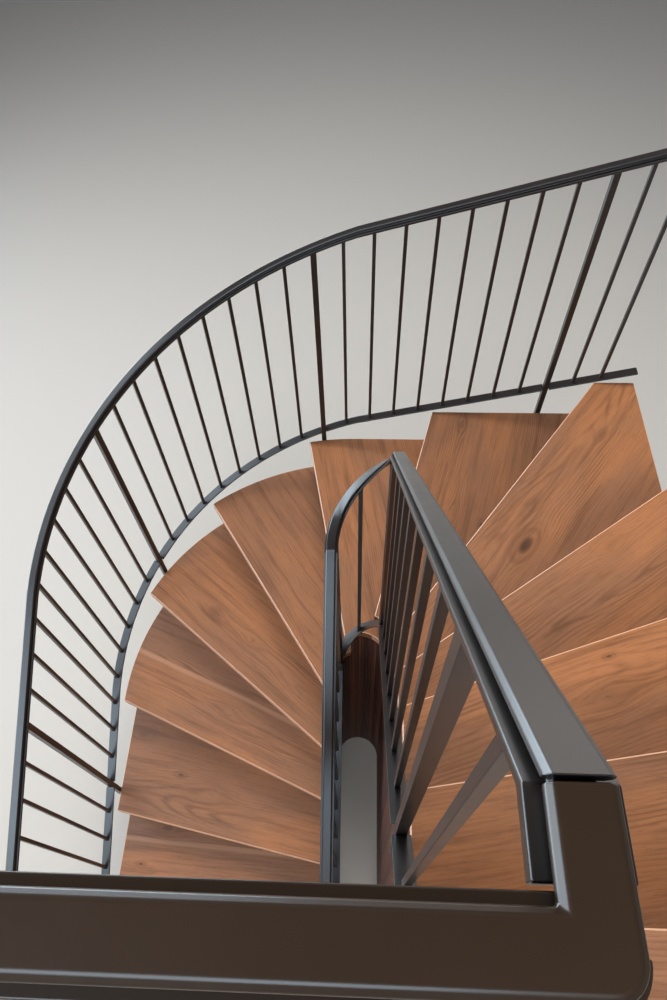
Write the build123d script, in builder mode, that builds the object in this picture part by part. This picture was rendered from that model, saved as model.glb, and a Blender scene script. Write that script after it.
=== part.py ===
"""A half-turn winder staircase around a narrow open well, with steel guards.

Thirteen oak treads climb clockwise around a well that is lined with upright boards. The
outer edge of the flight is straight, then a quarter round, then straight again up to a
wall. Flat-bar guards follow both edges, and a level guard runs along the landing.

Millimetres, Z up. The origin is on the floor, under the middle of the round end of the
well lining. Y runs up the left-hand flight, and X runs from it towards the wall.
"""
from build123d import *
from math import cos, pi, radians, sin
import os

# Storey and steps
storey_height = 2604
riser_count = 14
rise = storey_height / riser_count
tread_thickness = 40
nosing_overhang = 25
riser_thickness = 18
arris = 3

# Plan, measured from the centre of the round end of the well
left_edge = 1015
far_edge = 1010
wall_face = 1050
corner_radius = 991
corner_x = corner_radius - left_edge
corner_y = far_edge - corner_radius
well_half_width = 106
lining_thickness = 20
well_y = -(well_half_width + lining_thickness / 2)

# Setting out of the nosings: equal goings along a walking line around the well, and the
# turn of each nosing from square across the left-hand flight
walking_radius = 550
first_nosing = -1431
landing_nosing = 838.6
going = (pi * walking_radius - first_nosing + landing_nosing) / (riser_count - 1)
nosing_turns = [0, 0, 4, 11.3, 23.2, 38.9, 56.8, 78.9, 104.4, 126.5, 144.4, 160.3, 170.2, 180]
past_middle = 70
inward_reach = walking_radius + past_middle
outward_reach = left_edge + far_edge - walking_radius

# Strings, lining and landing
string_thickness = 40
string_drop = 400
wall_string_clearance = 9
trimmer_thickness = 60
trimmer_depth = 220
landing_edge = 898
landing_board_width = 120
landing_overlap = 60
landing_left = left_edge + landing_overlap

# Guards
outer_gap = 14
inner_gap = 28
landing_gap = 12
joint_gap = 2
guard_height = 914
cap_width = 26
cap_thickness = 10
cap_chamfer = 3
recess_width = 16
recess_height = 5
under_rail_width = 36
under_rail_thickness = 10
bottom_rail_width = 35
bottom_rail_thickness = 8
bar_size = 12
post_size = 20
seat = 0.2
spacer_height = 60
spacer_drop = 20
bars_per_bay = 9
bar_reach = 40
post_reach = 700

# Heights of the bottom rails over the steps that they pass, and the run of the edge that
# each rise takes in every stretch
outer_corner_steps = 5
outer_corner_clearance = 87
outer_left_run = 392.4
outer_corner_run = 501.3
outer_far_run = 643.6
outer_spacing = 99.1
outer_first_post = -350
outer_bays = 4
bend_low_steps = 7
bend_low_clearance = 67
bend_high_steps = 9
bend_high_clearance = 129
inner_left_run = 275.6
inner_foot_run = 300
inner_foot_turn = 660
inner_spacing = 92
inner_last_post = 704
inner_bays = 3
inner_joint = 834
level_rail_height = 129
landing_spacing = 99.1
landing_bays = 1


def level(z):
    """A horizontal plane at height z, centred on the round end of the well."""
    return Plane(origin=(0, well_y, z))


def spot(x, y, z=0):
    """A point given from the centre of the round end of the well."""
    return Vector(x, well_y + y, z)


def underside(number):
    """Height of the underside of a tread."""
    return number * rise - tread_thickness


def save(builder, label):
    """Name a finished piece and write it."""
    builder.part.label = label
    export_step(builder.part, f"parts/{label}.step")


def walking_point(distance):
    """A point along the walking line, measured from where its round stretch begins."""
    half_turn = pi * walking_radius
    if distance < 0:
        return Vector(-walking_radius, distance)
    if distance < half_turn:
        turn = distance / walking_radius
        return Vector(-walking_radius * cos(turn), walking_radius * sin(turn))
    return Vector(walking_radius, half_turn - distance)


def nosing_line(number, setback=0):
    """Inner and outer end of a nosing line, moved back under the step by a setback."""
    turn = radians(nosing_turns[number - 1])
    outward = Vector(-cos(turn), sin(turn))
    upstairs = Vector(sin(turn), cos(turn))
    middle = walking_point(first_nosing + (number - 1) * going) + upstairs * setback
    return middle - outward * inward_reach, middle + outward * outward_reach


def ground_between(front, back):
    """The four corners between two nosing lines, each given as a number and a setback."""
    inner_front, outer_front = nosing_line(*front)
    inner_back, outer_back = nosing_line(*back)
    return inner_front, outer_front, outer_back, inner_back


def step_under(point):
    """The number of the step that a point in plan stands over."""
    found = 0
    for number, turn in enumerate(nosing_turns, start=1):
        inner, outer = nosing_line(number)
        along = outer - inner
        passed = (point.X - inner.X) * along.Y > (point.Y - well_y - inner.Y) * along.X
        if passed and (point.X > 0 or turn < 90):
            found = number
    return found


def flight_plan(z, corners, edge_inset=0, well_growth=0):
    """Plan of the flight between its outer edge and the well, within four corners."""
    left = -left_edge + edge_inset
    far = far_edge - edge_inset
    right = wall_face - edge_inset
    start = first_nosing - going
    well_radius = well_half_width + well_growth
    with BuildSketch(level(z)) as plan:
        with BuildLine():
            Polyline((corner_x, far), (right, far), (right, start), (left, start), (left, corner_y))
            CenterArc((corner_x, corner_y), corner_radius - edge_inset, 90, 90)
        make_face()
        with Locations((0, start / 2)):
            Rectangle(2 * well_radius, -start, mode=Mode.SUBTRACT)
        Circle(well_radius, mode=Mode.SUBTRACT)
        with BuildLine():
            Polyline(*corners, close=True)
        make_face(mode=Mode.INTERSECT)
    return plan.sketch


def step_plan(number):
    """The ground from one riser's face to the next, at the underside of the tread."""
    next_step = min(number + 1, riser_count)
    with BuildSketch(level(underside(number))) as plan:
        with BuildLine():
            Polyline(
                *ground_between((number, nosing_overhang), (next_step, nosing_overhang)),
                close=True,
            )
        make_face()
    return plan.sketch


class Straight:
    """A straight run of a guard or string that climbs evenly between two points."""

    def __init__(self, start, end, low, high):
        self.start, self.end = spot(*start), spot(*end)
        self.low, self.high = low, high
        self.length = (self.end - self.start).length
        self.along = (self.end - self.start).normalized()

    def place(self, distance):
        """The point on the run and its level direction there."""
        share = distance / self.length
        height = self.low + (self.high - self.low) * share
        return self.start + self.along * distance + Vector(0, 0, height), self.along

    def carry(self, width, low, high, edge=0):
        """Carry an upright section from one end of the run to the other."""
        section = section_across(self, width, low, high, edge)
        slant = self.end - self.start + Vector(0, 0, self.high - self.low)
        extrude(section, amount=slant.length, dir=slant)


class Round:
    """A clockwise bend of a guard or string that climbs evenly."""

    def __init__(self, centre, radius, start_angle, sweep_angle, low, high):
        self.centre, self.radius = spot(*centre), radius
        self.start_angle, self.sweep_angle = start_angle, sweep_angle
        self.low, self.high = low, high
        self.length = radius * radians(sweep_angle)

    def place(self, distance):
        """The point on the run and its level direction there."""
        share = distance / self.length
        angle = radians(self.start_angle - self.sweep_angle * share)
        height = self.low + (self.high - self.low) * share
        outward = Vector(cos(angle), sin(angle))
        return self.centre + outward * self.radius + Vector(0, 0, height), Vector(sin(angle), -cos(angle))

    def carry(self, width, low, high, edge=0):
        """Carry an upright section round the bend."""
        section = section_across(self, width, low, high, edge)
        climb = self.high - self.low
        centre = self.centre + Vector(0, 0, section.face().center().Z)
        coil = Edge.make_helix(climb * 360 / self.sweep_angle, climb, self.radius, lefthand=True)
        sweep(section, path=coil.moved(Location(centre, (0, 0, self.start_angle))), is_frenet=True)


class Corner:
    """The rounded outer side of a level square corner, turning clockwise from -Y to -X."""

    length = 0

    def __init__(self, middle, height):
        self.middle = spot(*middle, height)

    def place(self, distance):
        """The middle of the corner and the level direction of what follows it."""
        return self.middle, Vector(-1, 0)

    def carry(self, width, low, high, edge=0):
        """Turn half of an upright section round the middle of the corner."""
        with BuildSketch(Plane(origin=self.middle, x_dir=(1, 0, 0), z_dir=(0, -1, 0))) as section:
            with Locations((width / 4, (low + high) / 2)):
                Rectangle(width / 2, high - low)
            if edge:
                chamfer(section.vertices().group_by(Axis.X)[-1], edge)
        revolve(section.sketch, axis=Axis(self.middle, (0, 0, -1)), revolution_arc=90)


def section_across(run, width, low, high, edge):
    """An upright rectangle across the start of a run, with its edges cut back."""
    origin, along = run.place(0)
    across = Vector(along.Y, -along.X)
    with BuildSketch(Plane(origin=origin, x_dir=across, z_dir=-along)) as section:
        with Locations((0, (low + high) / 2)):
            Rectangle(width, high - low)
        if edge:
            chamfer(section.vertices(), edge)
    return section.sketch


def rail(runs, width, low, high, edge=0):
    """A flat bar along all the runs of a guard."""
    for run in runs:
        run.carry(width, low, high, edge)


def find(runs, distance):
    """The run and the place on it at a distance along a guard."""
    for run in runs:
        if distance <= run.length:
            return run, distance
        distance -= run.length
    return runs[-1], runs[-1].length


def upright(runs, distance, size, foot, top):
    """A plain square bar between two heights, turned to the run."""
    run, local = find(runs, distance)
    origin, along = run.place(local)
    base = Plane(origin=(origin.X, origin.Y, foot), x_dir=along, z_dir=(0, 0, 1))
    with BuildSketch(base) as bar:
        Rectangle(size, size)
    extrude(bar.sketch, amount=top - foot)


def spacer(runs, distance, top, side, gap):
    """The block that holds a post off the edge that it is bolted to."""
    run, local = find(runs, distance)
    origin, along = run.place(local)
    across = Vector(along.Y, -along.X) * side
    hollow = post_size**2 / 8 / well_half_width if isinstance(run, Round) and side < 0 else 0
    reach = gap - post_size / 2 - seat - hollow
    middle = origin + across * (post_size / 2 + reach / 2)
    block_plane = Plane(origin=(middle.X, middle.Y, top), x_dir=across, z_dir=(0, 0, 1))
    with BuildSketch(block_plane) as block:
        Rectangle(reach, post_size)
    extrude(block.sketch, amount=-spacer_height)


def guard(name, runs, cap_runs, bars, posts, side, gap, fixing):
    """One guard: its cap, under-rail, bottom rail, bars and posts."""
    under_top = guard_height + under_rail_thickness
    cap_foot = under_top + recess_height
    with BuildPart() as cap:
        rail(cap_runs, cap_width, cap_foot, cap_foot + cap_thickness, cap_chamfer)
    save(cap, f"{name}_cap")
    with BuildPart() as under_rail:
        rail(runs, under_rail_width, guard_height, under_top)
        rail(runs, recess_width, under_top, under_top + recess_height)
    save(under_rail, f"{name}_under_rail")
    with BuildPart() as bottom_rail:
        rail(runs, bottom_rail_width, -bottom_rail_thickness, 0)
        for distance in posts:
            run, local = find(runs, distance)
            origin, along = run.place(local)
            hole = Plane(origin=origin, x_dir=along, z_dir=(0, 0, 1))
            with BuildSketch(hole) as slot:
                Rectangle(post_size + 2 * seat, 2 * bottom_rail_width)
            extrude(slot.sketch, amount=post_size * 2, both=True, mode=Mode.SUBTRACT)
    save(bottom_rail, f"{name}_bottom_rail")
    with BuildPart() as clear_height:
        rail(runs, post_size + 2 * seat, seat, guard_height - seat)
    with BuildPart() as balusters:
        for distance in bars:
            run, local = find(runs, distance)
            middle = run.place(local)[0].Z
            upright(runs, distance, bar_size, middle - bar_reach, middle + guard_height + bar_reach)
        add(clear_height.part, mode=Mode.INTERSECT)
    save(balusters, f"{name}_balusters")
    with BuildPart() as below_cap:
        rail(runs, 2 * post_size, -post_reach, guard_height - seat)
    with BuildPart() as post_set:
        for distance in posts:
            run, local = find(runs, distance)
            origin = run.place(local)[0]
            block_top = fixing(origin) - spacer_drop
            upright(runs, distance, post_size, block_top - spacer_height, origin.Z + guard_height + bar_reach)
        add(below_cap.part, mode=Mode.INTERSECT)
        for distance in posts:
            run, local = find(runs, distance)
            spacer(runs, distance, fixing(run.place(local)[0]) - spacer_drop, side, gap)
    save(post_set, f"{name}_posts")


def gap_from(edge, inner, outer):
    """How far an edge's middle is from a line in plan."""
    middle = edge.center()
    along = (outer - inner).normalized()
    return abs((middle.X - inner.X) * along.Y - (middle.Y - well_y - inner.Y) * along.X)


def fixing_height(point):
    """Height of the underside of the tread beside a post."""
    return underside(step_under(point))


os.makedirs("parts", exist_ok=True)

# Treads, each with a tongue between the strings that carries the riser above
for number in range(1, riser_count):
    riser_front = (number + 1, nosing_overhang)
    riser_back = (number + 1, nosing_overhang + riser_thickness)
    board = flight_plan(underside(number), ground_between((number, 0), riser_front))
    tongue = flight_plan(
        underside(number),
        ground_between(riser_front, riser_back),
        string_thickness,
        lining_thickness,
    )
    back_inner, back_outer = nosing_line(*riser_front)
    with BuildPart() as tread:
        extrude(board, amount=tread_thickness)
        top_edges = tread.faces().sort_by(Axis.Z)[-1].edges()
        chamfer(top_edges.sort_by(lambda edge: gap_from(edge, back_inner, back_outer))[1:], arris)
        extrude(tongue, amount=tread_thickness)
    save(tread, f"tread_{number:02d}")

# Risers, one board under each nosing
with BuildPart() as risers:
    for number in range(1, riser_count + 1):
        corners = ground_between((number, nosing_overhang), (number, nosing_overhang + riser_thickness))
        foot = (number - 1) * rise
        board = flight_plan(foot, corners, string_thickness, lining_thickness)
        extrude(board, amount=rise - tread_thickness)
save(risers, "risers")

# Heights along the outer edge, shared by the string and the guard
guard_corner_radius = corner_radius + outer_gap
outer_corner_level = outer_corner_steps * rise + outer_corner_clearance
outer_mid = outer_corner_level + rise / outer_corner_run * guard_corner_radius * pi / 2
outer_high = outer_mid + rise / outer_far_run * (wall_face - corner_x)
stair_foot = -first_nosing - nosing_overhang


def outer_line(offset, foot):
    """The outer edge in three runs, moved out by an offset, from the foot to the wall."""
    side, far, radius = left_edge + offset, far_edge + offset, corner_radius + offset
    low = outer_corner_level - rise / outer_left_run * (foot + corner_y)
    return [
        Straight((-side, -foot), (-side, corner_y), low, outer_corner_level),
        Round((corner_x, corner_y), radius, 180, 90, outer_corner_level, outer_mid),
        Straight((corner_x, far), (wall_face, far), outer_mid, outer_high),
    ]


# Outer string in three lengths, stepped under the treads and cut level at the floor
for name, run in zip(("left", "corner", "far"), outer_line(-string_thickness / 2, stair_foot)):
    with BuildPart() as string:
        run.carry(string_thickness, -string_drop, guard_height / 2)
        for number in range(1, riser_count):
            extrude(step_plan(number), amount=storey_height, mode=Mode.SUBTRACT)
        with BuildSketch(level(0)) as floor:
            Rectangle(3 * left_edge, 3 * stair_foot)
        extrude(amount=-string_drop, mode=Mode.SUBTRACT)
    save(string, f"outer_string_{name}")

# Wall string, under the wall ends of the upper treads
wall_line = wall_face - string_thickness / 2
wall_run = Straight(
    (wall_line, far_edge - string_thickness),
    (wall_line, -landing_nosing - nosing_overhang),
    outer_high,
    storey_height + wall_string_clearance,
)
with BuildPart() as wall_string:
    wall_run.carry(string_thickness, -string_drop, guard_height / 2)
    for number in range(1, riser_count):
        extrude(step_plan(number), amount=storey_height, mode=Mode.SUBTRACT)
save(wall_string, "wall_string")

# Well lining, stepped under the treads: a straight wall each side and three round lengths
lining_outside = well_half_width + lining_thickness
bend_lengths = ("right", "far", "left")


def lining_side(name, side, length):
    """One straight side of the lining, from the bend towards the landing."""
    with BuildPart() as lining:
        with BuildSketch(level(0)) as wall:
            with Locations((side * (well_half_width + lining_thickness / 2), -length / 2)):
                Rectangle(lining_thickness, length)
        extrude(amount=underside(riser_count))
        for number in range(1, riser_count):
            extrude(step_plan(number), amount=storey_height, mode=Mode.SUBTRACT)
    save(lining, name)


def lining_bend(name, start_angle, turn):
    """One length of the round end of the lining."""
    with BuildPart() as lining:
        with BuildSketch(level(0)) as ring:
            with BuildLine():
                inside = CenterArc((0, 0), well_half_width, start_angle, turn)
                outside = CenterArc((0, 0), lining_outside, start_angle, turn)
                Line(inside @ 0, outside @ 0)
                Line(inside @ 1, outside @ 1)
            make_face()
        extrude(amount=underside(riser_count))
        for number in range(1, riser_count):
            extrude(step_plan(number), amount=storey_height, mode=Mode.SUBTRACT)
    save(lining, name)


lining_side("lining_left", -1, stair_foot)
for place, name in enumerate(bend_lengths):
    lining_bend(f"lining_round_{name}", place * 180 / len(bend_lengths), 180 / len(bend_lengths))
lining_side("lining_right", 1, landing_edge)

# Landing edge: the trimmer and the board on it, set forward beside the well
riser_back_line = landing_nosing + nosing_overhang + riser_thickness
trimmer_back = landing_edge + trimmer_thickness
with BuildPart() as trimmer:
    with BuildSketch(level(underside(riser_count))) as beam:
        with BuildLine():
            Polyline(
                (-landing_left, -landing_edge),
                (lining_outside, -landing_edge),
                (lining_outside, -riser_back_line),
                (wall_face, -riser_back_line),
                (wall_face, -trimmer_back),
                (-landing_left, -trimmer_back),
                close=True,
            )
        make_face()
    extrude(amount=-trimmer_depth)
save(trimmer, "landing_trimmer")

board_back = landing_edge + landing_board_width
with BuildPart() as landing_board:
    with BuildSketch(level(underside(riser_count))) as board:
        with BuildLine():
            Polyline(
                (-landing_left, -landing_edge),
                (well_half_width, -landing_edge),
                (well_half_width, -landing_nosing),
                (wall_face, -landing_nosing),
                (wall_face, -board_back),
                (-landing_left, -board_back),
                close=True,
            )
        make_face()
    extrude(amount=tread_thickness)
    chamfer(landing_board.faces().sort_by(Axis.Z)[-1].edges(), arris)
save(landing_board, "landing_board")

# Outer guard
end_post = post_size / 2
outer_foot = bars_per_bay * outer_spacing - outer_first_post + end_post - corner_y
outer_runs = outer_line(outer_gap, outer_foot)
outer_length = sum(run.length for run in outer_runs)
outer_posts = [end_post + k * bars_per_bay * outer_spacing for k in range(outer_bays + 1)]
outer_bars = [
    end_post + k * outer_spacing
    for k in range(int(outer_length / outer_spacing))
    if k % bars_per_bay
]
guard("outer", outer_runs, outer_runs, outer_bars, outer_posts, 1, outer_gap, fixing_height)

# Inner guard, round the well and up to the level of the landing
guard_line = well_half_width - inner_gap
landing_line = landing_edge - landing_gap
landing_rail_level = storey_height + level_rail_height
landing_side = landing_line - under_rail_width / 2
inner_bay = bars_per_bay * inner_spacing
inner_start = (inner_bays * bars_per_bay + 1) * inner_spacing - inner_last_post - pi * guard_line + end_post
inner_bend_low = bend_low_steps * rise + bend_low_clearance
inner_bend_high = bend_high_steps * rise + bend_high_clearance
foot_turn_level = inner_bend_low - rise / inner_left_run * inner_foot_turn
foot_level = foot_turn_level - rise / inner_foot_run * (inner_start - inner_foot_turn)
level_z = (landing_rail_level, landing_rail_level)
inner_climb = [
    Straight((-guard_line, -inner_start), (-guard_line, -inner_foot_turn), foot_level, foot_turn_level),
    Straight((-guard_line, -inner_foot_turn), (-guard_line, 0), foot_turn_level, inner_bend_low),
    Round((0, 0), guard_line, 180, 180, inner_bend_low, inner_bend_high),
    Straight((guard_line, 0), (guard_line, -inner_joint), inner_bend_high, landing_rail_level),
]
inner_level = Straight((guard_line, -inner_joint), (guard_line, -landing_side + joint_gap), *level_z)
inner_runs = [*inner_climb, inner_level]
inner_length = sum(run.length for run in inner_runs)
inner_posts = [end_post + k * inner_bay for k in range(inner_bays)]
inner_posts.append(end_post + (inner_bays * bars_per_bay + 1) * inner_spacing)
inner_bars = [end_post + k * inner_spacing for k in range(int(inner_length / inner_spacing) + 1)]
inner_bars = [bar for bar in inner_bars if min(abs(bar - post) for post in inner_posts) > post_size]
guard("inner", inner_runs, inner_climb, inner_bars, inner_posts, -1, inner_gap, fixing_height)

# Landing guard, level, whose cap turns the corner to meet the cap of the inner guard
landing_corner = Corner((guard_line, -landing_line), landing_rail_level)
landing_run = Straight((guard_line, -landing_line), (-landing_left, -landing_line), *level_z)
cap_arm = Straight((guard_line, -inner_joint - joint_gap), (guard_line, -landing_line), *level_z)
landing_last = landing_run.length - end_post
landing_posts = [landing_last - k * bars_per_bay * landing_spacing for k in range(landing_bays + 1)]
landing_bars = [
    landing_last - k * landing_spacing
    for k in range(int(landing_last / landing_spacing) + 1)
    if k % bars_per_bay
]
guard(
    "landing",
    [landing_corner, landing_run],
    [cap_arm, landing_corner, landing_run],
    landing_bars,
    landing_posts,
    -1,
    landing_gap,
    lambda point: underside(riser_count),
)
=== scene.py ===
"""Looks of a half-turn winder staircase: oiled oak, a reeded well lining and dark steel guards."""
from math import cos, pi, radians, sin

import bmesh
import bpy
import numpy as np
from mathutils import Matrix, Vector
from mathutils.bvhtree import BVHTree


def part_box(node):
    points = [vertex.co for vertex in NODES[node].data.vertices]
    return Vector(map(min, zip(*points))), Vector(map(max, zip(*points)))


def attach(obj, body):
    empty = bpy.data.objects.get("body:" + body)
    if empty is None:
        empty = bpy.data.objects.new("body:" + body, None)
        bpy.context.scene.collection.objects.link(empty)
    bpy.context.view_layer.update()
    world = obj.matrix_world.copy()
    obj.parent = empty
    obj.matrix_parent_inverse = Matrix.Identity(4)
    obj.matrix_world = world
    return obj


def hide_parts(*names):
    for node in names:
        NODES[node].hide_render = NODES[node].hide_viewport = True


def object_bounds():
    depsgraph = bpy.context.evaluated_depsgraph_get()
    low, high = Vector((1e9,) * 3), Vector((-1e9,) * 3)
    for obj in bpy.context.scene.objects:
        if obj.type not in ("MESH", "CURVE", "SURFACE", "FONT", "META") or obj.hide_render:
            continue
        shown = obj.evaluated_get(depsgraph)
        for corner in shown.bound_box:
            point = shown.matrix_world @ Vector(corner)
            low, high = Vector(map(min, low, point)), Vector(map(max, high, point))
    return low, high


bl_info = {
    "name": "Winder staircase finishes",
    "version": (1, 0, 0),
    "blender": (4, 5, 0),
    "location": "View3D > Sidebar > Staircase",
    "description": "Oak, reeded lining and dark steel finishes for a packed winder staircase",
    "category": "Object",
}

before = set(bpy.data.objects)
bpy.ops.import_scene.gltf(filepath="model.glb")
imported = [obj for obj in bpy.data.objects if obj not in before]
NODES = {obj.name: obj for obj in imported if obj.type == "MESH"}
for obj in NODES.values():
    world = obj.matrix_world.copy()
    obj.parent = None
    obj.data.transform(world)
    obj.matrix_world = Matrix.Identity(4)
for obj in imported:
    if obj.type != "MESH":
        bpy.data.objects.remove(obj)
CAD_LOW, CAD_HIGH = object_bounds()
TREADS = sorted(name for name in NODES if name.startswith("tread_"))
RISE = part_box(TREADS[0])[1].z
TREAD_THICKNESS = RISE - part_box(TREADS[0])[0].z
LINING = sorted(name for name in NODES if name.startswith("lining_"))
WELL_HALF_WIDTH = -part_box("lining_left")[1].x
WELL_CENTRE_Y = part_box("lining_left")[1].y
GUARDS = ("outer", "inner", "landing")
GUARD_PARTS = ("cap", "under_rail", "bottom_rail", "balusters", "posts")

# Knots and swirls of each tread: a place in plan, a size and how dark the heart is
KNOTS = {
    3: ((-0.833, -0.569, 0.022, 0.5), (-0.927, -0.714, 0.010, 0.8)),
    4: ((-0.765, -0.382, 0.012, 0.7), (-0.649, -0.460, 0.040, 0.0), (-0.960, -0.215, 0.024, 0.25)),
    5: ((-0.548, -0.162, 0.032, 0.0),),
    6: ((-0.638, 0.220, 0.030, 0.1), (-0.451, 0.092, 0.022, 0.05)),
    7: ((-0.192, 0.046, 0.026, 0.1), (-0.201, 0.224, 0.024, 0.0)),
    9: ((0.407, 0.829, 0.020, 0.35), (0.446, 0.349, 0.012, 0.7), (0.346, 0.404, 0.022, 0.1)),
    10: ((0.551, 0.161, 0.034, 0.9), (0.881, 0.633, 0.016, 0.15)),
    11: ((0.756, 0.062, 0.026, 0.1),),
    12: ((0.612, -0.459, 0.030, 0.1), (0.624, -0.364, 0.008, 0.7)),
}
# How far a knot reaches along and across the grain, in its sizes, and how hard it bends the grain
KNOT_ALONG, KNOT_ACROSS = 2.8, 1.3
KNOT_PULL = 0.85
# Squared distances from a knot, in its reaches, between which its heart and its halo fade
HEART_FADE, HALO_FADE = (0.01, 0.24), (0.1, 1.8)
# How much a halo shows round a plain swirl, and how much more round a dark knot
HALO_LEAST, HALO_DARK = 0.12, 0.3
# Rings in a halo: how close they lie, how far the grain bends them and how much they show
HALO_RINGS, HALO_BEND, HALO_RING_SHARE = 9.0, 5.0, 0.16
# Treads glued from two boards: how far behind the nosing the joint lies
GLUE_LINES = {3: 0.30, 5: 0.232}
LANDING_GLUE_LINE = 0.062
# A glued joint: where its seam and the lighter wood ahead of it fade, and how much they show
SEAM_FADE, SEAM_SHARE = (0.0004, 0.0022), 0.35
GLOW_FADE, GLOW_SHARE = (0.003, 0.016), 0.22
GLOW_AHEAD = 0.012
# How much greyer the board behind a glued joint is
BACK_BOARD_GREY = 0.22
# Treads drawn darker than the rest, their colours multiplied by these factors
SHADES = {3: 0.86, 4: 0.90, 9: 0.80, 13: 0.82}
GRAIN_SEED = 11

# Growth rings: how far the pith strays aside and up, and how many spacings a ring wobbles
PITH_ASIDE, PITH_UP = 0.07, 0.06
RING_WOBBLE = 0.9
# How much the rings show everywhere and how much more in patches, and how much the rest shows
RING_LEAST, RING_PATCHES = 0.10, 0.36
STREAK_SHARE, STRAND_SHARE, PORE_SHARE = 0.42, 0.28, 0.30
# Brightness of rings and pores, as shares of the latewood's
RING_BRIGHTNESS, PORE_BRIGHTNESS = 0.75, 0.45
# Height and strength of the grain's relief
GRAIN_RELIEF, RELIEF_STRENGTH = 0.0006, 0.3
# The darkest and the lightest tone of stain and of steel, as shares of their colours
STAIN_TONES, STEEL_TONES = (0.30, 1.35), (0.7, 1.35)

# A face whose normal points up more than the first is level, and less than the second upright
LEVEL_NORMAL, UPRIGHT_NORMAL = 0.96, 0.4
# The front of a nosing points forwards more than this
FRONT_NORMAL = 0.6
# How much of the highlight colour the edges of the steps take, as a painted highlight on the arris
# and painted light on the nosing fronts
PAINTED_EDGE_LIGHT = 0.8

# How far over and under a riser its slice of vertices reaches
SLICE_MARGIN = 0.001

# Rounded copies: which corners are merged, and which angles are flat, creased and rounded
MERGE_DISTANCE = 0.00002
FLAT_ANGLE = radians(0.15)
CREASE_ANGLE = radians(16)
ROUNDED_ANGLE = radians(30)

# Reeds: corners round one, share of its width that it fills, and the gap behind it
REED_CORNERS = 7
REED_FILL = 0.98
REED_GAP = 0.0002
# Where the lining's top is measured for a reed: how far behind the face, and at which
# places across it, in reed widths from its middle
PROBE_DEPTH = 0.008
PROBE_PLACES = (-0.45, 0, 0.45)
# The lining behind the reeds, as a share of their stain: painted shade in the grooves between the
# reeds
LINING_PAINTED_SHADE = 0.6

# Studio lights: place, power, width, height and colour
# Soft ones light the object, and gloss ones only show in its gloss
SOFT_LIGHTS = {
    "left_light": ((-6.0, 1.8, 4.0), 290, 3.8, 3.4, (0.86, 0.93, 1.0)),
    "top_light": ((0.2, 2.4, 6.6), 300, 3.2, 3.2, (1.0, 0.96, 0.90)),
    "back_light": ((-0.3, -4.8, 5.8), 330, 3.6, 3.6, (1.0, 0.98, 0.96)),
}
GLOSS_LIGHTS = {
    "far_gloss": ((3.4, 6.6, 1.3), 130, 8.6, 3.0, (1.0, 0.94, 0.90)),
    "low_gloss": ((-4.0, 6.2, 1.1), 640, 7.0, 2.3, (0.74, 0.88, 1.0)),
    "side_gloss": ((-6.0, 0.8, 2.0), 600, 6.0, 3.6, (0.74, 0.88, 1.0)),
    "corner_gloss": ((-5.0, -3.4, 5.8), 330, 4.6, 4.0, (0.70, 0.86, 1.0)),
    "left_gloss": ((-6.6, 0.4, 5.6), 440, 6.5, 4.0, (0.74, 0.88, 1.0)),
    "rail_gloss": ((-1.2, -5.2, 7.0), 300, 4.6, 4.0, (0.66, 0.84, 1.0)),
}
LIGHT_AIM = (0, 0, 1.8)
# The camera's sensor in millimetres, and the nearest that it sees in metres
SENSOR_WIDTH = 36
NEAREST_VIEW = 0.02


class Socket:
    """A shader value that can be added, multiplied and compared in Python."""

    def __init__(self, tree, link):
        self.tree, self.link = tree, link

    def _math(self, operation, first, second=None):
        values = {0: first} if second is None else {0: first, 1: second}
        return self.tree.node("ShaderNodeMath", {"operation": operation}, values)["Value"]

    def __add__(self, other):
        return self._math("ADD", self, other)

    def __radd__(self, other):
        return self._math("ADD", other, self)

    def __sub__(self, other):
        return self._math("SUBTRACT", self, other)

    def __rsub__(self, other):
        return self._math("SUBTRACT", other, self)

    def __mul__(self, other):
        return self._math("MULTIPLY", self, other)

    def __rmul__(self, other):
        return self._math("MULTIPLY", other, self)

    def __truediv__(self, other):
        return self._math("DIVIDE", self, other)

    def __rtruediv__(self, other):
        return self._math("DIVIDE", other, self)

    def __pow__(self, other):
        return self._math("POWER", self, other)

    def __gt__(self, other):
        return self._math("GREATER_THAN", self, other)

    def __lt__(self, other):
        return self._math("LESS_THAN", self, other)

    def sine(self):
        return self._math("SINE", self)

    def root(self):
        return self._math("SQRT", self)

    def at_least(self, other):
        return self._math("MAXIMUM", self, other)


class Outputs:
    """The outputs of a node, by name or by place."""

    def __init__(self, tree, node):
        self.tree, self.found = tree, node

    def __getitem__(self, key):
        return Socket(self.tree, self.found.outputs[key])


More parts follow.
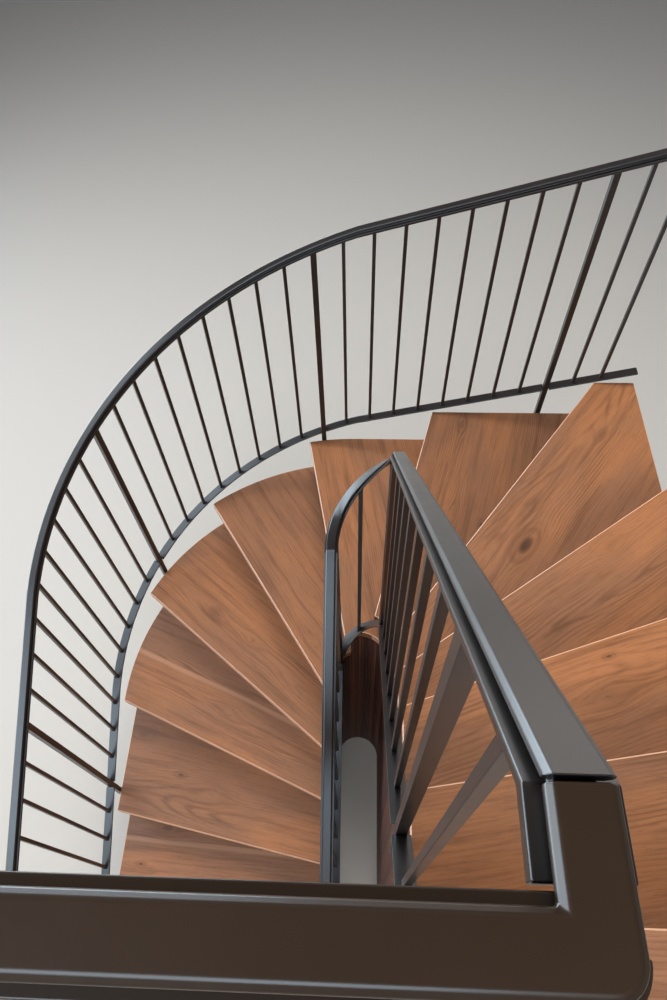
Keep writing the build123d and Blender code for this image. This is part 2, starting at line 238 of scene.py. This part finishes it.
class Finish:
    """A material whose nodes are written as expressions."""

    def __init__(self, name):
        self.material = bpy.data.materials.new(name)
        self.material.use_nodes = True
        self.nodes = self.material.node_tree.nodes
        self.links = self.material.node_tree.links
        self.nodes.clear()
        self.shader = self.nodes.new("ShaderNodeBsdfPrincipled")
        end = self.nodes.new("ShaderNodeOutputMaterial")
        self.links.new(self.shader.outputs["BSDF"], end.inputs["Surface"])
        self.place = self.node("ShaderNodeTexCoord")["Object"]

    def node(self, kind, settings=None, values=None):
        """Add a node: its settings first, then the values or links of its sockets."""
        made = self.nodes.new(kind)
        for key, value in (settings or {}).items():
            setattr(made, key, value)
        for key, value in (values or {}).items():
            self.put(made.inputs[key], value)
        return Outputs(self, made)

    def put(self, socket, value):
        """Link a socket, or set its value."""
        if isinstance(value, Socket):
            self.links.new(value.link, socket)
        elif hasattr(value, "__len__") and len(value) == 3 and socket.type == "RGBA":
            socket.default_value = (*value, 1)
        else:
            socket.default_value = value

    def set(self, **values):
        """Set sockets of the shader, with underscores for the spaces in their names."""
        for key, value in values.items():
            self.put(self.shader.inputs[key.replace("_", " ")], value)

    def split(self, vector):
        """The three numbers of a vector."""
        parts = self.node("ShaderNodeSeparateXYZ", values={"Vector": vector})
        return parts["X"], parts["Y"], parts["Z"]

    def join(self, x, y, z):
        """A vector from three numbers."""
        return self.node("ShaderNodeCombineXYZ", values={"X": x, "Y": y, "Z": z})["Vector"]

    def noise(self, vector, detail, roughness=0.5, scale=1.0):
        """Cloudy noise from 0 to 1."""
        values = {"Vector": vector, "Scale": scale, "Detail": detail, "Roughness": roughness}
        return self.node("ShaderNodeTexNoise", values=values)[0]

    def mix(self, share, first, second):
        """A colour between two colours."""
        values = {"Factor": share, 6: first, 7: second}
        return self.node("ShaderNodeMix", {"data_type": "RGBA"}, values)[2]

    def fade(self, value, low, high):
        """A number carried smoothly from 0 at the low end to 1 at the high end."""
        values = {"Value": value, "From Min": low, "From Max": high}
        return self.node(
            "ShaderNodeMapRange", {"interpolation_type": "SMOOTHSTEP"}, values)["Result"]

    def bump(self, height, strength, distance):
        """A normal from a height, of which 1 stands for the distance in metres."""
        values = {"Height": height, "Strength": strength, "Distance": distance}
        return self.node("ShaderNodeBump", values=values)["Normal"]


class OakSettings(bpy.types.PropertyGroup):
    """Colours and sizes of the oak."""

    warm: bpy.props.FloatVectorProperty(
        name="Warm oak", description="Colour of the warm parts of a board",
        default=(0.360, 0.150, 0.064), subtype="COLOR", size=3, min=0, max=1)
    grey: bpy.props.FloatVectorProperty(
        name="Grey oak", description="Colour of the duller parts of a board",
        default=(0.258, 0.120, 0.063), subtype="COLOR", size=3, min=0, max=1)
    late: bpy.props.FloatVectorProperty(
        name="Latewood", description="Colour of the dark lines of the grain",
        default=(0.098, 0.040, 0.018), subtype="COLOR", size=3, min=0, max=1)
    heart: bpy.props.FloatVectorProperty(
        name="Heart of a knot", description="Colour of the middle of a knot",
        default=(0.030, 0.016, 0.011), subtype="COLOR", size=3, min=0, max=1)
    # Colour of the painted highlight on the steps' arrises and the painted light on their nosing
    # fronts, and also of the pale wood ahead of a glued joint
    pale_wood_and_highlight: bpy.props.FloatVectorProperty(
        name="Edge highlight and pale wood", description="Colour of the rubbed edges of the steps",
        default=(0.72, 0.42, 0.27), subtype="COLOR", size=3, min=0, max=1)
    ring: bpy.props.FloatProperty(
        name="Ring spacing", description="Distance from one growth ring to the next",
        default=0.0085, unit="LENGTH", min=0.002, max=0.05)
    lining: bpy.props.FloatVectorProperty(
        name="Lining stain", description="Colour of the stained reeds of the well lining",
        default=(0.110, 0.034, 0.016), subtype="COLOR", size=3, min=0, max=1)
    reed: bpy.props.FloatProperty(
        name="Reed width", description="Width of each reed of the well lining",
        default=0.0125, unit="LENGTH", min=0.005, max=0.05)
    reed_depth: bpy.props.FloatProperty(
        name="Reed depth", description="How far a reed stands out of the lining",
        default=0.0035, unit="LENGTH", min=0.001, max=0.01)


class SteelSettings(bpy.types.PropertyGroup):
    """Colour and gloss of the guards."""

    stair: bpy.props.FloatVectorProperty(
        name="Stair guards", description="Colour of the dark finish of the two stair guards",
        default=(0.013, 0.010, 0.009), subtype="COLOR", size=3, min=0, max=1)
    # The landing guard is the same dark steel made browner, as a painted reflection of the brown
    # wood round it
    landing: bpy.props.FloatVectorProperty(
        name="Landing guard", description="Colour of the landing guard's dark steel, browner as a painted reflection",
        default=(0.021, 0.011, 0.005), subtype="COLOR", size=3, min=0, max=1)
    roughness: bpy.props.FloatProperty(
        name="Steel roughness", description="Roughness of the steel's dark finish",
        default=0.30, min=0, max=1, subtype="FACTOR")
    edge: bpy.props.FloatProperty(
        name="Edge radius", description="Rounding of the edges of the caps, bars and posts",
        default=0.0012, unit="LENGTH", min=0, max=0.004)
    rail_edge: bpy.props.FloatProperty(
        name="Rail edge radius",
        description="Rounding of the edges of the rails that hold the bars",
        default=0.0028, unit="LENGTH", min=0, max=0.004)


class StageSettings(bpy.types.PropertyGroup):
    """The camera and the surroundings of the picture."""

    eye: bpy.props.FloatVectorProperty(
        name="Eye", description="Place of the camera", default=(0.0013, -1.0036, 3.9254),
        subtype="TRANSLATION", unit="LENGTH", size=3)
    yaw: bpy.props.FloatProperty(
        name="Yaw", description="Turn of the view from +Y towards +X",
        default=radians(-4.252), subtype="ANGLE", unit="ROTATION")
    pitch: bpy.props.FloatProperty(
        name="Pitch", description="Tilt of the view below the horizon",
        default=radians(57.086), subtype="ANGLE", unit="ROTATION")
    roll: bpy.props.FloatProperty(
        name="Roll", description="Roll of the view", default=radians(-2.714),
        subtype="ANGLE", unit="ROTATION")
    lens: bpy.props.FloatProperty(
        name="Lens", description="Focal length in millimetres",
        default=25.2, unit="CAMERA", min=5, max=200)
    floor: bpy.props.FloatVectorProperty(
        name="Floor", description="Colour of the pale floor",
        default=(0.56, 0.545, 0.52), subtype="COLOR", size=3, min=0, max=1)
    floor_reach: bpy.props.FloatProperty(
        name="Floor reach", description="How far the floor goes to each side",
        default=9.0, unit="LENGTH", min=3, max=50)
    surround: bpy.props.FloatVectorProperty(
        name="Surroundings", description="Colour of the even light from all round",
        default=(0.90, 0.93, 1.0), subtype="COLOR", size=3, min=0, max=1)
    surround_strength: bpy.props.FloatProperty(
        name="Surroundings strength", description="Strength of the even light from all round",
        default=0.17, subtype="FACTOR", min=0, max=2)


GROUPS = {"stair_oak": OakSettings, "stair_steel": SteelSettings, "stair_stage": StageSettings}


def vertices(name):
    """The vertices of a node as rows of x, y and z."""
    mesh = NODES[name].data
    found = np.empty(len(mesh.vertices) * 3)
    mesh.vertices.foreach_get("co", found)
    return found.reshape(-1, 3)


def nosing(number):
    """The turn of a step's nosing in plan, and how far its line lies across from the origin.

    The riser under the nosing is the slice of the risers' vertices in its own storey of one
    rise. Its direction is the main axis of their spread, turned so that the tread lies to
    its left. The nosing's line runs in that direction through the tread's foremost vertex.
    """
    points = vertices("risers")
    foot = (number - 1) * RISE
    head = foot + RISE - TREAD_THICKNESS
    inside = (points[:, 2] > foot - SLICE_MARGIN) & (points[:, 2] < head + SLICE_MARGIN)
    plan = points[inside][:, :2]
    middle = plan.mean(0)
    along = np.linalg.eigh(np.cov((plan - middle).T))[1][:, 1]
    tread = vertices(f"tread_{number:02d}")[:, :2]
    across = np.array([-along[1], along[0]])
    if (tread.mean(0) - middle) @ across < 0:
        along, across = -along, -across
    return float(np.arctan2(along[1], along[0])), float((tread @ across).min())


def knotted(finish, colour, swirls, strand, slow, late, heart):
    """Darken a board's colour round each of its knots, with rings that fade away from it."""
    for swirl, dark in swirls:
        eye = 1 - finish.fade(swirl + (strand - 0.5) * 0.30, *HEART_FADE)
        halo = 1 - finish.fade(swirl, *HALO_FADE)
        rim = (swirl * HALO_RINGS + slow * HALO_BEND).sine() * halo * (HALO_RING_SHARE * dark)
        colour = finish.mix(halo * (HALO_LEAST + HALO_DARK * dark) + rim, colour, late)
        colour = finish.mix(eye * (strand * 1.1 + 0.25) * dark, colour, heart)
    return colour


def glued(finish, colour, across, joint, late, pale_wood_and_highlight):
    """Draw the fine dark seam of a glued joint, and the lighter wood in front of it."""
    seam = 1 - finish.fade(((across - joint) ** 2).root(), *SEAM_FADE)
    glow = 1 - finish.fade(((across - joint + GLOW_AHEAD) ** 2).root(), *GLOW_FADE)
    colour = finish.mix(glow * GLOW_SHARE, colour, pale_wood_and_highlight)
    return finish.mix(seam * SEAM_SHARE, colour, late)


def wood(finish, along, across, up, settings, seed, knots=(), joint=None, shade=1.0):
    """Colour and height of oak, from board coordinates in metres.

    Growth rings are circles about a pith that lies under the board and slants along it, so
    their distance from it, divided by the ring spacing, gives flame figures where the
    surface cuts them. They show in patches. Around a knot the coordinate across is drawn in
    towards its heart, which bends the rings and strands round it. Each noise is drawn out
    along the grain: its factors are cycles per metre along, across and through the board.
    """
    rng = np.random.default_rng(seed)
    lift, tilt = rng.uniform(0.02, 0.06), rng.uniform(0.02, 0.05) * rng.choice((-1, 1))
    pith, shift = rng.uniform(0.08, 0.2), rng.uniform(0, 50)
    warm, grey, late = (
        [c * shade for c in colour] for colour in (settings.warm, settings.grey, settings.late))
    swirls = []
    for x, y, size, dark in knots:
        swirl = (((along - x) / (size * KNOT_ALONG)) ** 2
                 + ((across - y) / (size * KNOT_ACROSS)) ** 2)
        swirls.append((swirl, dark))
        across = across - (across - y) * (KNOT_PULL / (1 + swirl * swirl))

    # Where the pith lies, which is elsewhere in the board behind a glued joint
    slow = finish.noise(finish.join(along * 0.9 + shift, across * 3.0, up * 3.0), 2)
    sway = finish.noise(finish.join(along * 2.2, across * 1.1 + shift, up), 2)
    aside = across - pith + (sway - 0.5) * PITH_ASIDE
    step = 0.0
    if joint is not None:
        back = across > joint
        aside = aside - back * rng.uniform(0.1, 0.2)
        step = back * BACK_BOARD_GREY
    depth = up + lift + along * tilt + (slow - 0.5) * PITH_UP

    # Growth rings and the patches where they show
    wobble = finish.noise(finish.join(along * 7.0, across * 40.0, shift), 2)
    radius = (aside ** 2 + depth ** 2).root() + (wobble - 0.5) * settings.ring * RING_WOBBLE
    rings = (radius * (2 * pi / settings.ring) + slow * 4.0).sine() * 0.5 + 0.5
    patches = finish.noise(finish.join(along * 2.4, across * 9.0 + shift, 3.0), 2)
    figure = rings ** 3 * (RING_LEAST + finish.fade(patches, 0.42, 0.68) * RING_PATCHES)

    # Broad streaks, strands and pores
    broad = finish.noise(finish.join(along * 2.0 + shift, across * 34.0, up * 34.0), 4, 0.6)
    strand = finish.noise(finish.join(along * 5.0, across * 150.0 + shift, up * 150.0), 3, 0.65)
    pore = finish.noise(finish.join(along * 26.0, across * 520.0 + shift, up * 520.0), 2, 0.6)
    pores = finish.fade(pore, 0.56, 0.70)
    streaks = (finish.fade(broad, 0.46, 0.70) * STREAK_SHARE
               + finish.fade(strand, 0.45, 0.72) * STRAND_SHARE)

    cloud = finish.noise(finish.join(along * 1.5, across * 5.0, shift), 3, 0.55)
    colour = finish.mix(finish.fade(cloud + step, 0.34, 0.66), warm, grey)
    colour = finish.mix(streaks, colour, late)
    colour = finish.mix(figure, colour, [c * RING_BRIGHTNESS for c in late])
    colour = finish.mix(pores * PORE_SHARE, colour, [c * PORE_BRIGHTNESS for c in late])
    colour = knotted(finish, colour, swirls, strand, slow, late, settings.heart)
    if joint is not None:
        colour = glued(finish, colour, across, joint, late, settings.pale_wood_and_highlight)
    return colour, strand * 0.5 - pores * 0.6 - figure * 0.6


def highlighted(finish, colour, settings, turn):
    """Paint a highlight on the arris of a step and painted light on the face of its nosing, found
    from the normal.
    """
    nx, ny, nz = finish.split(finish.node("ShaderNodeNewGeometry")["Normal"])
    front = nx * sin(turn) - ny * cos(turn)
    arris = (nz > UPRIGHT_NORMAL) * (nz < LEVEL_NORMAL)
    face = (front > FRONT_NORMAL) * (nz < UPRIGHT_NORMAL) * (nz > -UPRIGHT_NORMAL)
    # Painted highlight on the arris and painted light on the front of the nosing
    return finish.mix(arris * PAINTED_EDGE_LIGHT + face * PAINTED_EDGE_LIGHT, colour, settings.pale_wood_and_highlight)


def oak_board(name, settings, turn, start, top, seed, knots=(), joint=None, shade=1.0):
    """An oak board whose grain runs at a turn in plan, measured back from its front line."""
    finish = Finish(name)
    x, y, z = finish.split(finish.place)
    c, s = cos(turn), sin(turn)
    placed = [
        (kx * c + ky * s, ky * c - kx * s - start, size, dark) for kx, ky, size, dark in knots]
    along, across = x * c + y * s, y * c - x * s - start
    colour, height = wood(finish, along, across, z - top, settings, seed, placed, joint, shade)
    # The arris and the nosing front get a painted highlight
    finish.set(Base_Color=highlighted(finish, colour, settings, turn), Roughness=0.48 - height * 0.12)
    finish.set(Normal=finish.bump(height, RELIEF_STRENGTH, GRAIN_RELIEF))
    finish.set(Specular_IOR_Level=0.38)
    return finish.material


def oak_upright_board(name, settings, along, seed, slant):
    """Oak on an upright board whose grain runs at a slant along a coordinate in plan."""
    finish = Finish(name)
    x, y, z = finish.split(finish.place)
    run = along(finish, x, y)
    colour, height = wood(finish, run, z - run * slant, x * 0.3 + y * 0.3, settings, seed)
    finish.set(Base_Color=colour, Roughness=0.5 - height * 0.1)
    finish.set(Normal=finish.bump(height, RELIEF_STRENGTH, GRAIN_RELIEF))
    return finish.material


def outward(finish, x, y):
    """Distance out from the middle line of the well."""
    return (x ** 2 + (y - WELL_CENTRE_Y).at_least(0.0) ** 2).root()


def crossways(finish, x, y):
    """Distance across the two flights."""
    return x


def lengthways(finish, x, y):
    """Distance along the two flights."""
    return y


def clockwise(finish, x, y):
    """Turn clockwise about the middle of the well's round end, in radians."""
    values = {0: y - WELL_CENTRE_Y, 1: x}
    return finish.node("ShaderNodeMath", {"operation": "ARCTAN2"}, values)["Value"] * -1.0


# Boards on edge: their finish, the coordinate that their grain follows, its seed and its slant
UPRIGHT_BOARDS = {
    "risers": ("riser_oak", outward, 31, 0.0),
    "outer_string_left": ("left_string_oak", lengthways, 32, 0.47),
    "outer_string_corner": ("corner_string_oak", clockwise, 33, 0.37),
    "outer_string_far": ("far_string_oak", crossways, 34, 0.29),
    "wall_string": ("wall_string_oak", lengthways, 35, -0.4),
    "landing_trimmer": ("trimmer_oak", crossways, 36, 0.0),
}


def stained(name, settings, shade=1.0):
    """Dark stained oak with upright grain and a tone of its own for each reed.

    The lining behind the reeds has no tones, so it takes the darkest one, and the shade darkens it
    as painted shade.
    """
    finish = Finish(name)
    x, y, z = finish.split(finish.place)
    tone = finish.node("ShaderNodeAttribute", {"attribute_name": "tone"})["Fac"]
    strand = finish.noise(finish.join(x * 160.0, y * 160.0, z * 3.0), 3, 0.6)
    deep, full = ([c * share * shade for c in settings.lining] for share in STAIN_TONES)
    colour = finish.mix(finish.fade(strand * 0.5 + tone * 0.5, 0.25, 0.75), deep, full)
    finish.set(Base_Color=colour, Roughness=0.42 + strand * 0.15)
    finish.set(Normal=finish.bump(strand, strength=0.3, distance=0.0005))
    return finish.material


def steel(name, settings, colour):
    """Steel with a dark satin finish, its tone and gloss clouded a little."""
    finish = Finish(name)
    cloud = finish.noise(finish.place, 4, 0.6, scale=7.0)
    grit = finish.noise(finish.place, 2, 0.6, scale=420.0)
    low, high = ([c * share for c in colour] for share in STEEL_TONES)
    finish.set(Base_Color=finish.mix(cloud, low, high))
    finish.set(Roughness=settings.roughness - 0.08 + cloud * 0.14 + grit * 0.05)
    finish.set(Specular_IOR_Level=0.62)
    finish.set(Normal=finish.bump(grit, strength=0.10, distance=0.0002))
    return finish.material


def dress(names, material):
    """Give CAD nodes a finish."""
    for name in names:
        NODES[name].data.materials.clear()
        NODES[name].data.materials.append(material)


def add_piece(name, mesh, material):
    """Add a mesh as a piece of the staircase."""
    mesh.materials.clear()
    mesh.materials.append(material)
    piece = bpy.data.objects.new(name, mesh)
    bpy.context.scene.collection.objects.link(piece)
    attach(piece, "root")
    return piece


def add_rounded(name, radius, material):
    """Show a joined copy of a node with rounded edges in its place.

    Faces that lie in one plane become one, and creases stay sharp, so that flat faces look
    flat between the rounded edges.
    """
    mesh = NODES[name].data.copy()
    work = bmesh.new()
    work.from_mesh(mesh)
    bmesh.ops.remove_doubles(work, verts=work.verts, dist=MERGE_DISTANCE)
    bmesh.ops.dissolve_limit(work, angle_limit=FLAT_ANGLE, verts=work.verts, edges=work.edges)
    for face in work.faces:
        face.smooth = True
    for edge in work.edges:
        edge.smooth = edge.calc_face_angle(0) < CREASE_ANGLE
    work.to_mesh(mesh)
    work.free()
    piece = add_piece(f"{name}_rounded", mesh, material)
    bevel = piece.modifiers.new("edges", "BEVEL")
    bevel.width, bevel.segments = radius, 2
    bevel.limit_method, bevel.angle_limit = "ANGLE", ROUNDED_ANGLE
    bevel.harden_normals = True
    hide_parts(name)


def well_line(distance, left_length):
    """Points along the well's face and the directions into the well, for distances along it.

    The line is straight up the left side, half round about the middle of the well, and
    straight back on the right side.
    """
    turn = np.clip((distance - left_length) / WELL_HALF_WIDTH, 0, pi)
    before = np.minimum(distance - left_length, 0)
    after = np.maximum(distance - left_length - pi * WELL_HALF_WIDTH, 0)
    x = -WELL_HALF_WIDTH * np.cos(turn)
    y = WELL_CENTRE_Y + WELL_HALF_WIDTH * np.sin(turn) + before - after
    return np.stack((x, y), -1), np.stack((np.cos(turn), -np.sin(turn)), -1)


def lining_top(points):
    """Height of the top of the lining over points in plan."""
    trees = []
    for name in LINING:
        work = bmesh.new()
        work.from_mesh(NODES[name].data)
        trees.append(BVHTree.FromBMesh(work))
        work.free()
    down = Vector((0, 0, -1))
    found = []
    for x, y in points:
        hits = [tree.ray_cast(Vector((x, y, CAD_HIGH.z)), down)[0] for tree in trees]
        found.append(max((hit.z for hit in hits if hit), default=0.0))
    return np.array(found)


def reeds(settings):
    """Half-round reeds side by side along the well's face, from its foot up to the steps.

    Each reed is half an ellipse as wide as the reed and as deep as it stands out. It is
    carried straight up, as high as the lowest of the lining's tops that are measured
    behind it.
    """
    left_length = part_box("lining_left")[1].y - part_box("lining_left")[0].y
    right_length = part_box("lining_right")[1].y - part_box("lining_right")[0].y
    length = left_length + pi * WELL_HALF_WIDTH + right_length
    count = int(length / settings.reed)
    width = length / count
    turn = np.linspace(0, pi, REED_CORNERS)
    middles = (np.arange(count) + 0.5) * width
    distance = middles[:, None] - np.cos(turn)[None] * width * REED_FILL / 2
    outline, inward = well_line(distance, left_length)
    outline = outline + inward * (REED_GAP + np.sin(turn)[None, :, None] * settings.reed_depth)
    probes = [well_line(middles + place * width, left_length) for place in PROBE_PLACES]
    tops = np.min([lining_top(face - into * PROBE_DEPTH) for face, into in probes], axis=0)
    foot = np.zeros_like(outline[..., :1])
    low = np.concatenate((outline, foot), -1)
    high = np.concatenate((outline, foot + tops[:, None, None]), -1)
    grid = np.stack((low, high), 1)

    # Corners are counted reed by reed, first round the foot and then round the top
    first = np.arange(count)[:, None] * 2 * REED_CORNERS
    step = np.arange(REED_CORNERS)[None]
    after = (step + 1) % REED_CORNERS
    above = first + REED_CORNERS
    faces = np.stack((first + step, above + step, above + after, first + after), -1)
    faces = faces.reshape(-1, 4).tolist()
    faces += (first + step).tolist()
    faces += (above + step)[:, ::-1].tolist()
    mesh = bpy.data.meshes.new("lining_reeds")
    mesh.from_pydata(grid.reshape(-1, 3), [], faces)
    tones = np.random.default_rng(GRAIN_SEED).uniform(0, 1, count)
    tone = mesh.attributes.new("tone", "FLOAT", "POINT")
    tone.data.foreach_set("value", np.repeat(tones, 2 * REED_CORNERS).astype(np.float32))
    return mesh


def add_floor(colour, reach):
    """Add the pale floor, which belongs to the stage."""
    mesh = bpy.data.meshes.new("floor")
    corners = [(-reach, -reach, 0), (reach, -reach, 0), (reach, reach, 0), (-reach, reach, 0)]
    mesh.from_pydata(corners, [], [(0, 1, 2, 3)])
    finish = Finish("pale_floor")
    finish.set(Base_Color=colour, Roughness=0.9, Specular_IOR_Level=0.0)
    mesh.materials.append(finish.material)
    floor = bpy.data.objects.new("floor", mesh)
    bpy.context.scene.collection.objects.link(floor)


def add_surround(colour, strength):
    """Add the even light from all round."""
    world = bpy.data.worlds.new("studio")
    world.use_nodes = True
    background = world.node_tree.nodes["Background"].inputs
    background["Color"].default_value = (*colour, 1)
    background["Strength"].default_value = strength
    bpy.context.scene.world = world


def add_light(name, place, power, width, height, colour, soft):
    """Add a flat studio light, which either lights softly or only shows in gloss."""
    area = bpy.data.lights.new(name, "AREA")
    area.shape = "RECTANGLE"
    area.energy, area.size, area.size_y, area.color = power, width, height, colour
    light = bpy.data.objects.new(name, area)
    light.location = place
    aim = Vector(LIGHT_AIM) - Vector(place)
    light.rotation_euler = aim.to_track_quat("-Z", "Y").to_euler()
    light.visible_diffuse, light.visible_glossy, light.visible_camera = soft, not soft, False
    bpy.context.scene.collection.objects.link(light)


def add_camera(settings):
    """Add the camera, turned from +Y by its yaw, tipped down by its pitch, then rolled."""
    lens = bpy.data.cameras.new("camera")
    lens.lens, lens.sensor_width, lens.clip_start = settings.lens, SENSOR_WIDTH, NEAREST_VIEW
    camera = bpy.data.objects.new("camera", lens)
    yaw, pitch, roll = settings.yaw, settings.pitch, settings.roll
    ahead = Vector((sin(yaw) * cos(pitch), cos(yaw) * cos(pitch), -sin(pitch)))
    right = Vector((cos(yaw), -sin(yaw), 0))
    up = right.cross(ahead)
    turned = right * cos(roll) + up * sin(roll)
    raised = up * cos(roll) - right * sin(roll)
    facing = Matrix((turned, raised, -ahead)).transposed().to_4x4()
    camera.matrix_world = Matrix.Translation(settings.eye) @ facing
    bpy.context.scene.collection.objects.link(camera)
    bpy.context.scene.camera = camera


class STAIR_OT_treads(bpy.types.Operator):
    """Oak finish on each tread, its grain along its nosing"""

    bl_idname = "stair.treads"
    bl_label = "Treads"

    def execute(self, context):
        settings = context.scene.stair_oak
        for number, name in enumerate(TREADS, start=1):
            turn, start = nosing(number)
            material = oak_board(
                f"{name}_oak", settings, turn, start, number * RISE, GRAIN_SEED + number,
                KNOTS.get(number, ()), GLUE_LINES.get(number), SHADES.get(number, 1.0))
            dress([name], material)
        return {"FINISHED"}


class STAIR_OT_woodwork(bpy.types.Operator):
    """Oak finish on the risers, the strings and the landing edge"""

    bl_idname = "stair.woodwork"
    bl_label = "Risers, strings and landing edge"

    def execute(self, context):
        settings = context.scene.stair_oak
        low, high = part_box("landing_board")
        material = oak_board(
            "landing_oak", settings, 0.0, low.y, high.z, GRAIN_SEED, joint=LANDING_GLUE_LINE)
        dress(["landing_board"], material)
        for name, (finish, along, seed, slant) in UPRIGHT_BOARDS.items():
            dress([name], oak_upright_board(finish, settings, along, seed, slant))
        return {"FINISHED"}


class STAIR_OT_lining(bpy.types.Operator):
    """Reeds and a dark stain on the lining of the well"""

    bl_idname = "stair.lining"
    bl_label = "Well lining"

    def execute(self, context):
        settings = context.scene.stair_oak
        # The lining behind the reeds is darkened as painted shade in the grooves between them
        dress(LINING, stained("lining_stain_and_shade", settings, LINING_PAINTED_SHADE))
        add_piece("lining_reeds", reeds(settings), stained("reed_stain", settings))
        return {"FINISHED"}


class STAIR_OT_guards(bpy.types.Operator):
    """Dark steel finish and rounded edges on the guards"""

    bl_idname = "stair.guards"
    bl_label = "Guards"

    def execute(self, context):
        settings = context.scene.stair_steel
        stair = steel("stair_guard_steel", settings, settings.stair)
        # The landing guard's steel is made browner as a painted reflection
        landing = steel("landing_guard_reflection_steel", settings, settings.landing)
        for guard in GUARDS:
            material = landing if guard == "landing" else stair
            for part in GUARD_PARTS:
                radius = settings.rail_edge if part.endswith("rail") else settings.edge
                add_rounded(f"{guard}_{part}", radius, material)
        return {"FINISHED"}


class STAIR_OT_stage(bpy.types.Operator):
    """Pale floor, studio lights and the camera"""

    bl_idname = "stair.stage"
    bl_label = "Stage"

    def execute(self, context):
        settings = context.scene.stair_stage
        add_floor(settings.floor, settings.floor_reach)
        add_surround(settings.surround, settings.surround_strength)
        for name, light in SOFT_LIGHTS.items():
            add_light(name, *light, soft=True)
        for name, light in GLOSS_LIGHTS.items():
            add_light(name, *light, soft=False)
        add_camera(settings)
        context.scene.view_settings.view_transform = "Standard"
        return {"FINISHED"}


OPERATORS = (STAIR_OT_treads, STAIR_OT_woodwork, STAIR_OT_lining, STAIR_OT_guards, STAIR_OT_stage)


class STAIR_PT_panel(bpy.types.Panel):
    """The steps that finish the staircase"""

    bl_idname = "STAIR_PT_panel"
    bl_label = "Staircase"
    bl_space_type = "VIEW_3D"
    bl_region_type = "UI"
    bl_category = "Staircase"

    def draw(self, context):
        for operator in OPERATORS:
            self.layout.operator(operator.bl_idname)
        for group in GROUPS:
            settings = getattr(context.scene, group)
            for key in settings.bl_rna.properties.keys():
                if key not in ("rna_type", "name"):
                    self.layout.prop(settings, key)


CLASSES = (*GROUPS.values(), *OPERATORS, STAIR_PT_panel)


def register():
    """Register the classes and give the scene their settings."""
    for cls in CLASSES:
        bpy.utils.register_class(cls)
    for name, group in GROUPS.items():
        setattr(bpy.types.Scene, name, bpy.props.PointerProperty(type=group))


def unregister():
    """Take the settings off the scene and unregister the classes."""
    for name in GROUPS:
        delattr(bpy.types.Scene, name)
    for cls in reversed(CLASSES):
        bpy.utils.unregister_class(cls)


def main():
    """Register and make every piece."""
    register()
    bpy.ops.stair.treads()
    bpy.ops.stair.woodwork()
    bpy.ops.stair.lining()
    bpy.ops.stair.guards()
    bpy.ops.stair.stage()


if __name__ == "__main__":
    main()
